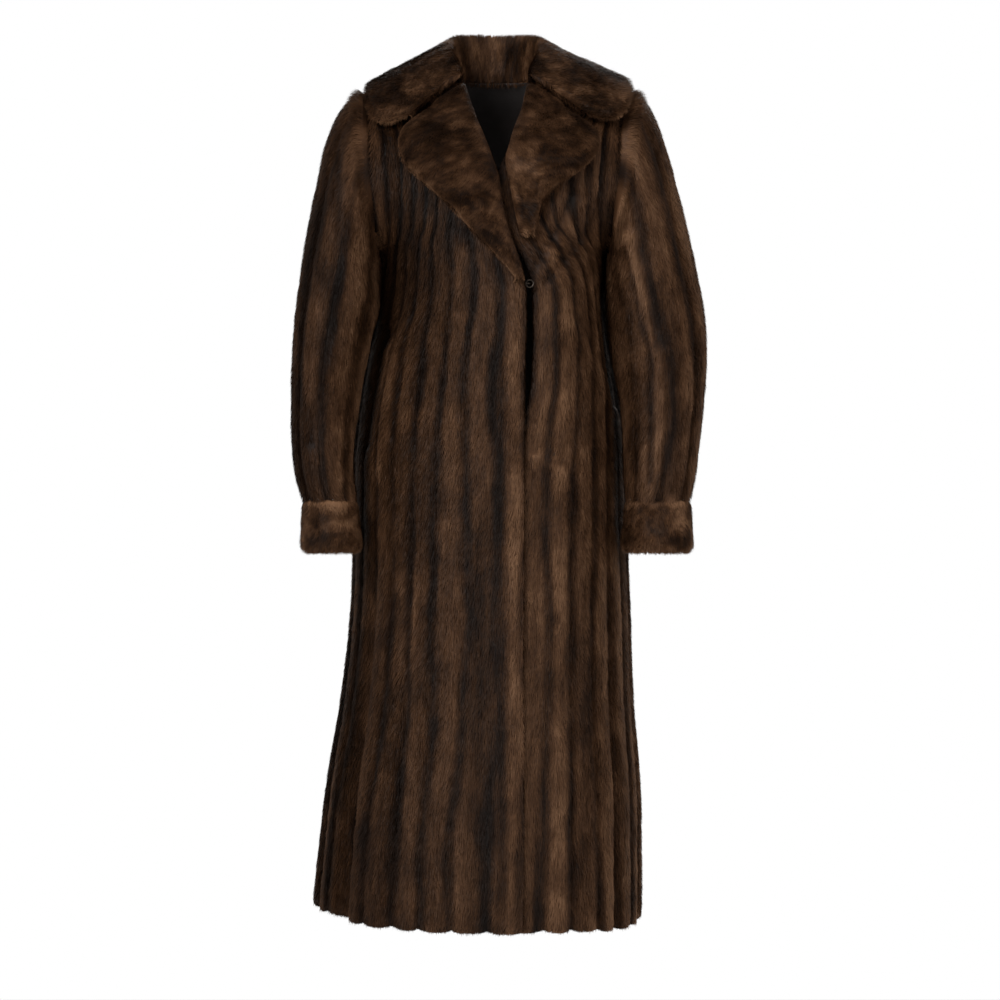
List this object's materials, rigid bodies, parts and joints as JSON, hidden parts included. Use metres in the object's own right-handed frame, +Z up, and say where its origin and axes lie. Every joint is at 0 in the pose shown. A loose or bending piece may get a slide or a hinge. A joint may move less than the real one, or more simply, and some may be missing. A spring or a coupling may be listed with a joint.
{
  "type": "fur coat",
  "caption": "Full-length fur coat with a notched collar, wide lapels, full gathered sleeves and turned cuffs, fastened by a fur hook; stands open and hollow as worn.",
  "frame": {"origin": "midway between the shoulders at the base of the neck, at the height where the coat rests on them", "axes": "+Z up, the front towards -Y, the wearer's left towards +X"},
  "size_m": [0.5765, 0.4244, 1.2505],
  "materials": {
    "fur": "brown fur, pile down",
    "hook_metal": "dark covered wire"
  },
  "bodies": {
    "root": {"front_right": "fur", "front_left": "fur", "back": "fur", "sleeve_right": "fur", "sleeve_left": "fur", "cuff_right": "fur", "cuff_left": "fur", "collar": "fur", "lapel_right": "fur", "lapel_left": "fur", "hook_ring": "hook_metal", "hook": "hook_metal"}
  },
  "joints": []
}
